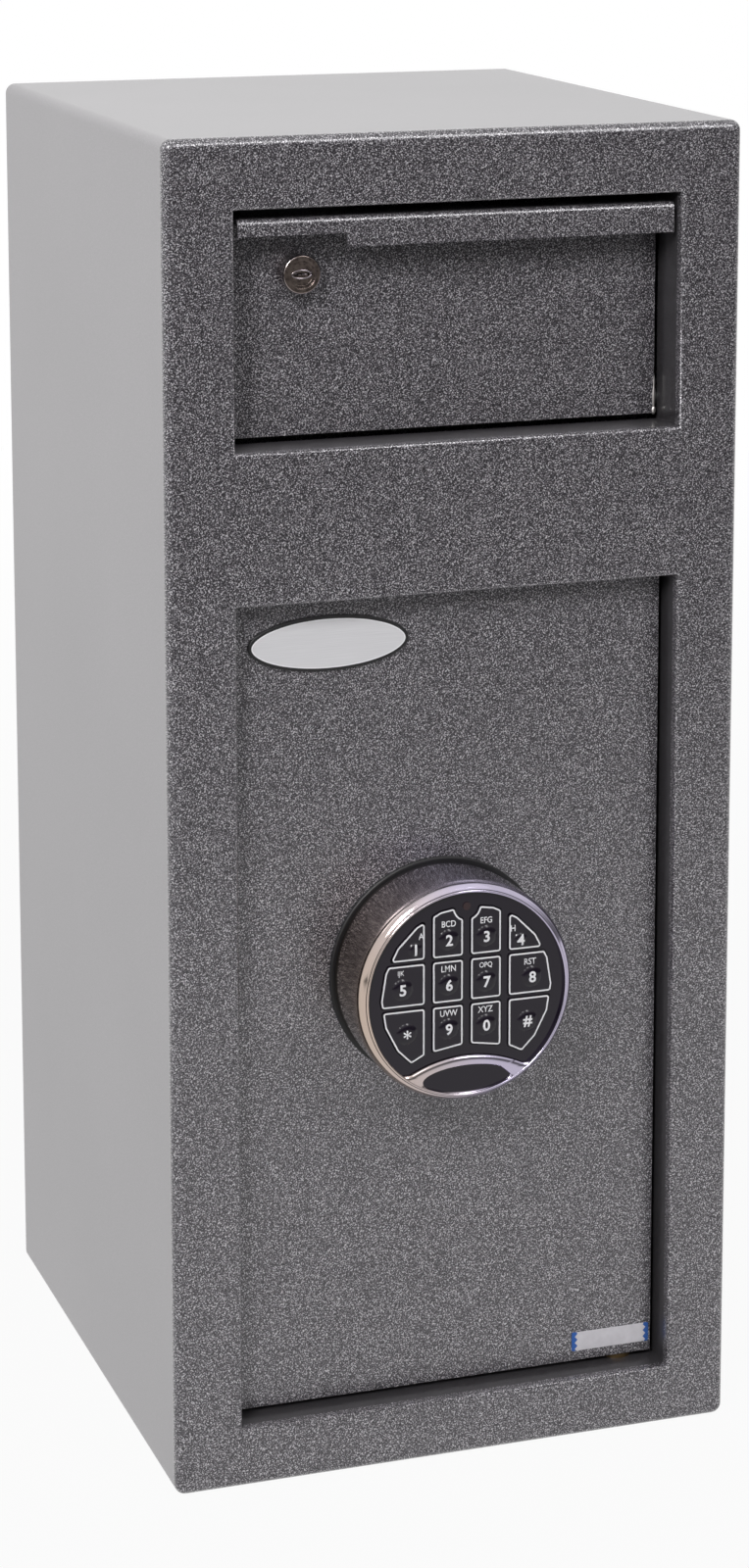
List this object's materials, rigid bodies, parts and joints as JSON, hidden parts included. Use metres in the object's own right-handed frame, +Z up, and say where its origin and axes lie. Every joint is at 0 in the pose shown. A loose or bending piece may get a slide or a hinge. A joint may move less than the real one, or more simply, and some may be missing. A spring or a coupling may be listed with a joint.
{
  "type": "deposit safe",
  "caption": "Tall steel deposit safe: a key-locked hopper tilts out above a recessed hinged door, which turning its round keypad locks with sliding bolts.",
  "frame": {"origin": "centre of the casing's base, on the surface it stands on", "axes": "+Z up, the front faces -Y, +X to the right seen from the front"},
  "size_m": [0.222, 0.2585, 0.508],
  "materials": {
    "hammertone_paint": "dark grey hammered stove paint",
    "zinc_steel": "zinc-plated steel",
    "brass": "turned brass",
    "chrome": "polished chrome",
    "badge_metal": "satin oval plate with a dark edge",
    "label_foil": "thin silver film",
    "die_cast": "die-cast zinc case",
    "black_plastic": "moulded black plastic",
    "gloss_black": "glossy black plate",
    "key_black": "domed black keys, outlined white",
    "red_lamp": "small dark lamp",
    "mat_rubber": "moulded rubber mat",
    "board_green": "glass-fibre circuit board",
    "battery_case": "painted steel battery can",
    "lead_black": "black insulated lead"
  },
  "bodies": {
    "casing": {"casing_wrap": "hammertone_paint", "back_plate": "hammertone_paint", "face_plate": "hammertone_paint", "door_liner": "hammertone_paint", "hopper_liner": "hammertone_paint", "jamb_strips": "hammertone_paint", "hinge_bushes": "brass", "hopper_side_left": "hammertone_paint", "hopper_side_right": "hammertone_paint", "upper_baffle": "hammertone_paint", "cam_strike": "hammertone_paint", "hopper_pivot_pins": "zinc_steel"},
    "door": {"door_plate": "hammertone_paint", "hinge_blocks": "hammertone_paint", "hinge_pins": "zinc_steel", "dead_bar": "hammertone_paint", "cover_posts": "zinc_steel", "door_cover": "zinc_steel", "cover_screws": "zinc_steel", "door_badge": "badge_metal", "door_label": "label_foil", "lock_case": "die_cast", "lock_case_screws": "zinc_steel", "bolt_guides": "zinc_steel", "spindle_bush": "brass", "keypad_ring": "black_plastic", "keypad_lead": "lead_black"},
    "bolts": {"bolt_bar": "zinc_steel", "locking_bolts": "zinc_steel"},
    "keypad": {"keypad_housing": "chrome", "keypad_back": "black_plastic", "key_plate": "gloss_black", "oval_inlay": "gloss_black", "keypad_led": "red_lamp", "key_mat": "mat_rubber", "circuit_board": "board_green", "battery": "battery_case", "spindle": "zinc_steel", "pinion": "brass", "spindle_nut": "zinc_steel"},
    "hopper": {"hopper_front": "hammertone_paint", "cheek_left": "hammertone_paint", "cheek_right": "hammertone_paint", "hopper_floor": "hammertone_paint", "lock_cylinder": "chrome", "lock_nut": "zinc_steel"},
    "key_plug": {"lock_plug": "chrome", "lock_cam": "zinc_steel"},
    "key_1": {"key_1": "key_black"},
    "key_2": {"key_2": "key_black"},
    "key_3": {"key_3": "key_black"},
    "key_4": {"key_4": "key_black"},
    "key_5": {"key_5": "key_black"},
    "key_6": {"key_6": "key_black"},
    "key_7": {"key_7": "key_black"},
    "key_8": {"key_8": "key_black"},
    "key_star": {"key_star": "key_black"},
    "key_9": {"key_9": "key_black"},
    "key_0": {"key_0": "key_black"},
    "key_hash": {"key_hash": "key_black"}
  },
  "joints": [
    {"name": "door_swing", "type": "hinge", "parent": "casing", "child": "door", "pos_m": [0.073, -0.1, 0.18], "axis": [0, 0, 1], "range_deg": [0, 100]},
    {"name": "keypad_turn", "type": "hinge", "parent": "door", "child": "keypad", "pos_m": [-0.0035, -0.1, 0.191], "axis": [0, -1, 0], "range_deg": [0, 90]},
    {"name": "bolt_slide", "type": "slide", "parent": "door", "child": "bolts", "axis": [-1, 0, 0], "range_m": [0, 0.0142]},
    {"name": "hopper_tilt", "type": "hinge", "parent": "casing", "child": "hopper", "pos_m": [0, -0.094, 0.402], "axis": [1, 0, 0], "range_deg": [0, 50]},
    {"name": "key_lock_turn", "type": "hinge", "parent": "hopper", "child": "key_plug", "pos_m": [-0.056, -0.1, 0.4564], "axis": [0, -1, 0], "range_deg": [0, 90]},
    {"name": "press_1", "type": "slide", "parent": "keypad", "child": "key_1", "axis": [0, 1, 0], "range_m": [0, 0.0008], "stiffness_N_per_m": 1000},
    {"name": "press_2", "type": "slide", "parent": "keypad", "child": "key_2", "axis": [0, 1, 0], "range_m": [0, 0.0008], "stiffness_N_per_m": 1000},
    {"name": "press_3", "type": "slide", "parent": "keypad", "child": "key_3", "axis": [0, 1, 0], "range_m": [0, 0.0008], "stiffness_N_per_m": 1000},
    {"name": "press_4", "type": "slide", "parent": "keypad", "child": "key_4", "axis": [0, 1, 0], "range_m": [0, 0.0008], "stiffness_N_per_m": 1000},
    {"name": "press_5", "type": "slide", "parent": "keypad", "child": "key_5", "axis": [0, 1, 0], "range_m": [0, 0.0008], "stiffness_N_per_m": 1000},
    {"name": "press_6", "type": "slide", "parent": "keypad", "child": "key_6", "axis": [0, 1, 0], "range_m": [0, 0.0008], "stiffness_N_per_m": 1000},
    {"name": "press_7", "type": "slide", "parent": "keypad", "child": "key_7", "axis": [0, 1, 0], "range_m": [0, 0.0008], "stiffness_N_per_m": 1000},
    {"name": "press_8", "type": "slide", "parent": "keypad", "child": "key_8", "axis": [0, 1, 0], "range_m": [0, 0.0008], "stiffness_N_per_m": 1000},
    {"name": "press_star", "type": "slide", "parent": "keypad", "child": "key_star", "axis": [0, 1, 0], "range_m": [0, 0.0008], "stiffness_N_per_m": 1000},
    {"name": "press_9", "type": "slide", "parent": "keypad", "child": "key_9", "axis": [0, 1, 0], "range_m": [0, 0.0008], "stiffness_N_per_m": 1000},
    {"name": "press_0", "type": "slide", "parent": "keypad", "child": "key_0", "axis": [0, 1, 0], "range_m": [0, 0.0008], "stiffness_N_per_m": 1000},
    {"name": "press_hash", "type": "slide", "parent": "keypad", "child": "key_hash", "axis": [0, 1, 0], "range_m": [0, 0.0008], "stiffness_N_per_m": 1000}
  ],
  "couplings": [
    {"joint": "bolt_slide", "follows": "keypad_turn", "m_per_rad": 0.009}
  ]
}
